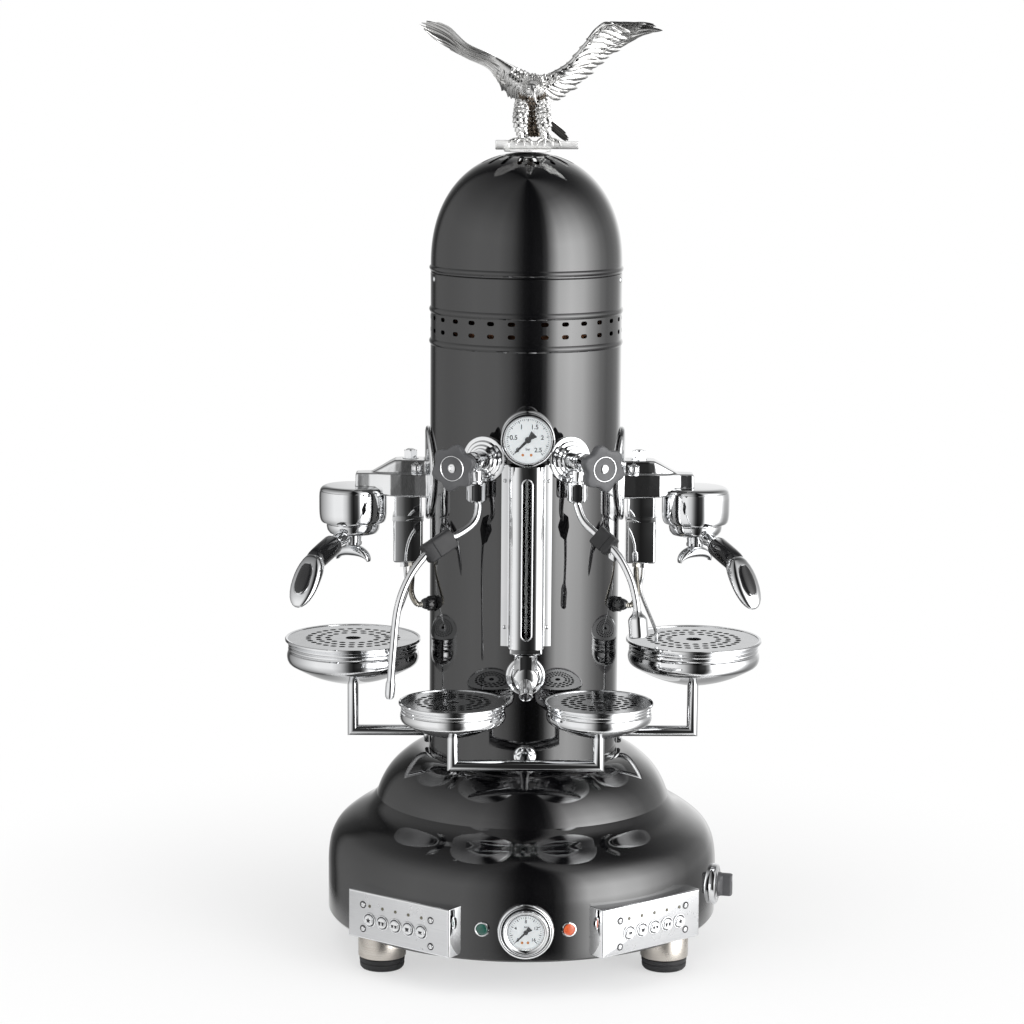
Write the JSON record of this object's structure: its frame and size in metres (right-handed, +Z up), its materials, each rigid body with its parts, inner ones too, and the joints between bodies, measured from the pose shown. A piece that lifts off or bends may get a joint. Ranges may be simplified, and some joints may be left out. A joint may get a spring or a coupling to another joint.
{
  "type": "espresso machine",
  "caption": "Upright column espresso machine with bell base, brew groups on both sides, cup trays, steam and water wands, gauges and a bird finial",
  "frame": {"origin": "centre of the footprint on the floor", "axes": "+Z up, the front with the gauges and keypads faces -Y, +X to the viewer's right"},
  "size_m": [0.6232, 0.5246, 1.2],
  "materials": {
    "black_enamel": "gloss black enamel",
    "chrome": "polished chrome plate",
    "brushed_steel": "turned steel",
    "satin_steel": "satin steel",
    "copper": "bare copper",
    "black_plastic": "matt black plastic",
    "black_gloss": "gloss black plastic",
    "clear_glass": "clear glass",
    "green_lens": "green lens",
    "amber_lens": "amber lens",
    "rubber_grip": "black rubber"
  },
  "bodies": {
    "machine": {"base_housing": "black_enamel", "base_plate": "satin_steel", "foot_front_left": "brushed_steel", "foot_front_right": "brushed_steel", "foot_rear_left": "brushed_steel", "foot_rear_right": "brushed_steel", "keypad_box_left": "satin_steel", "keypad_box_right": "satin_steel", "pump_gauge_case": "chrome", "pump_gauge_glass": "clear_glass", "pilot_lamp_green": "green_lens", "pilot_lamp_amber": "amber_lens", "switch_bezel": "chrome", "column_shell": "black_enamel", "dome": "black_enamel", "boiler": "copper", "eagle_finial": "chrome", "boiler_gauge_case": "chrome", "boiler_gauge_glass": "clear_glass", "sight_glass_cover": "chrome", "sight_glass_tube": "clear_glass", "drain_cock": "chrome", "front_tray_frame": "chrome", "side_tray_left": "chrome", "side_tray_right": "chrome", "group_left": "chrome", "group_right": "chrome", "solenoid_left": "chrome", "solenoid_right": "chrome", "conduit_left": "brushed_steel", "conduit_right": "brushed_steel", "steam_valve": "chrome", "water_valve": "chrome"},
    "button_left_1": {"button_left_1": "chrome"},
    "button_left_2": {"button_left_2": "chrome"},
    "button_left_3": {"button_left_3": "chrome"},
    "button_left_4": {"button_left_4": "chrome"},
    "button_left_5": {"button_left_5": "chrome"},
    "button_right_1": {"button_right_1": "chrome"},
    "button_right_2": {"button_right_2": "chrome"},
    "button_right_3": {"button_right_3": "chrome"},
    "button_right_4": {"button_right_4": "chrome"},
    "button_right_5": {"button_right_5": "chrome"},
    "steam_knob": {"steam_knob": "black_plastic"},
    "steam_wand": {"steam_wand": "chrome", "steam_wand_grip": "rubber_grip"},
    "water_knob": {"water_knob": "black_plastic"},
    "water_wand": {"water_wand": "chrome", "water_wand_grip": "rubber_grip"},
    "filter_holder_left": {"filter_holder_left": "chrome", "handle_left": "black_gloss"},
    "filter_holder_right": {"filter_holder_right": "chrome", "handle_right": "black_gloss"},
    "switch_knob": {"switch_knob": "black_plastic"},
    "boiler_gauge_needle": {"boiler_gauge_needle": "black_plastic"},
    "pump_gauge_needle": {"pump_gauge_needle": "black_plastic"},
    "side_grate_left": {"side_grate_left": "satin_steel"},
    "front_grate_left": {"front_grate_left": "satin_steel"},
    "side_grate_right": {"side_grate_right": "satin_steel"},
    "front_grate_right": {"front_grate_right": "satin_steel"}
  },
  "joints": [
    {"name": "button_left_1_press", "type": "slide", "parent": "machine", "child": "button_left_1", "axis": [0.5948, 0.8039, 0], "range_m": [0, 0.0015], "stiffness_N_per_m": 300},
    {"name": "button_left_2_press", "type": "slide", "parent": "machine", "child": "button_left_2", "axis": [0.5948, 0.8039, 0], "range_m": [0, 0.0015], "stiffness_N_per_m": 300},
    {"name": "button_left_3_press", "type": "slide", "parent": "machine", "child": "button_left_3", "axis": [0.5948, 0.8039, 0], "range_m": [0, 0.0015], "stiffness_N_per_m": 300},
    {"name": "button_left_4_press", "type": "slide", "parent": "machine", "child": "button_left_4", "axis": [0.5948, 0.8039, 0], "range_m": [0, 0.0015], "stiffness_N_per_m": 300},
    {"name": "button_left_5_press", "type": "slide", "parent": "machine", "child": "button_left_5", "axis": [0.5948, 0.8039, 0], "range_m": [0, 0.0015], "stiffness_N_per_m": 300},
    {"name": "button_right_1_press", "type": "slide", "parent": "machine", "child": "button_right_1", "axis": [-0.5948, 0.8039, 0], "range_m": [0, 0.0015], "stiffness_N_per_m": 300},
    {"name": "button_right_2_press", "type": "slide", "parent": "machine", "child": "button_right_2", "axis": [-0.5948, 0.8039, 0], "range_m": [0, 0.0015], "stiffness_N_per_m": 300},
    {"name": "button_right_3_press", "type": "slide", "parent": "machine", "child": "button_right_3", "axis": [-0.5948, 0.8039, 0], "range_m": [0, 0.0015], "stiffness_N_per_m": 300},
    {"name": "button_right_4_press", "type": "slide", "parent": "machine", "child": "button_right_4", "axis": [-0.5948, 0.8039, 0], "range_m": [0, 0.0015], "stiffness_N_per_m": 300},
    {"name": "button_right_5_press", "type": "slide", "parent": "machine", "child": "button_right_5", "axis": [-0.5948, 0.8039, 0], "range_m": [0, 0.0015], "stiffness_N_per_m": 300},
    {"name": "steam_valve_turn", "type": "hinge", "parent": "machine", "child": "steam_knob", "pos_m": [-0.08836, -0.17934, 0.6555], "axis": [-0.4289, -0.9033, 0], "range_deg": [0, 540]},
    {"name": "steam_wand_swivel", "type": "hinge", "parent": "machine", "child": "steam_wand", "pos_m": [-0.06284, -0.12559, 0.6275], "axis": [0, 0, 1], "range_deg": [-40, 75]},
    {"name": "water_valve_turn", "type": "hinge", "parent": "machine", "child": "water_knob", "pos_m": [0.08836, -0.17934, 0.6555], "axis": [0.4289, -0.9033, 0], "range_deg": [0, 540]},
    {"name": "water_wand_swivel", "type": "hinge", "parent": "machine", "child": "water_wand", "pos_m": [0.06284, -0.12559, 0.6275], "axis": [0, 0, 1], "range_deg": [-75, 20]},
    {"name": "filter_holder_left_lock", "type": "hinge", "parent": "machine", "child": "filter_holder_left", "pos_m": [-0.2225, 0.00675, 0.557], "axis": [0, 0, 1], "range_deg": [-50, 0]},
    {"name": "filter_holder_right_lock", "type": "hinge", "parent": "machine", "child": "filter_holder_right", "pos_m": [0.2225, 0.00675, 0.557], "axis": [0, 0, 1], "range_deg": [-50, 0]},
    {"name": "power_switch_turn", "type": "hinge", "parent": "machine", "child": "switch_knob", "pos_m": [0.24791, -0.05506, 0.09], "axis": [0.9703, -0.2419, 0], "range_deg": [-90, 0]},
    {"name": "boiler_gauge_needle_turn", "type": "hinge", "parent": "machine", "child": "boiler_gauge_needle", "pos_m": [0, -0.16125, 0.6865], "axis": [0, -1, 0], "range_deg": [-270, 0]},
    {"name": "pump_gauge_needle_turn", "type": "hinge", "parent": "machine", "child": "pump_gauge_needle", "pos_m": [0, -0.26225, 0.0865], "axis": [0, -1, 0], "range_deg": [-270, 0]},
    {"name": "side_grate_left_lift", "type": "slide", "parent": "machine", "child": "side_grate_left", "axis": [0, 0, 1], "range_m": [0, 0.0026]},
    {"name": "front_grate_left_lift", "type": "slide", "parent": "machine", "child": "front_grate_left", "axis": [0, 0, 1], "range_m": [0, 0.06]},
    {"name": "side_grate_right_lift", "type": "slide", "parent": "machine", "child": "side_grate_right", "axis": [0, 0, 1], "range_m": [0, 0.0026]},
    {"name": "front_grate_right_lift", "type": "slide", "parent": "machine", "child": "front_grate_right", "axis": [0, 0, 1], "range_m": [0, 0.06]}
  ]
}
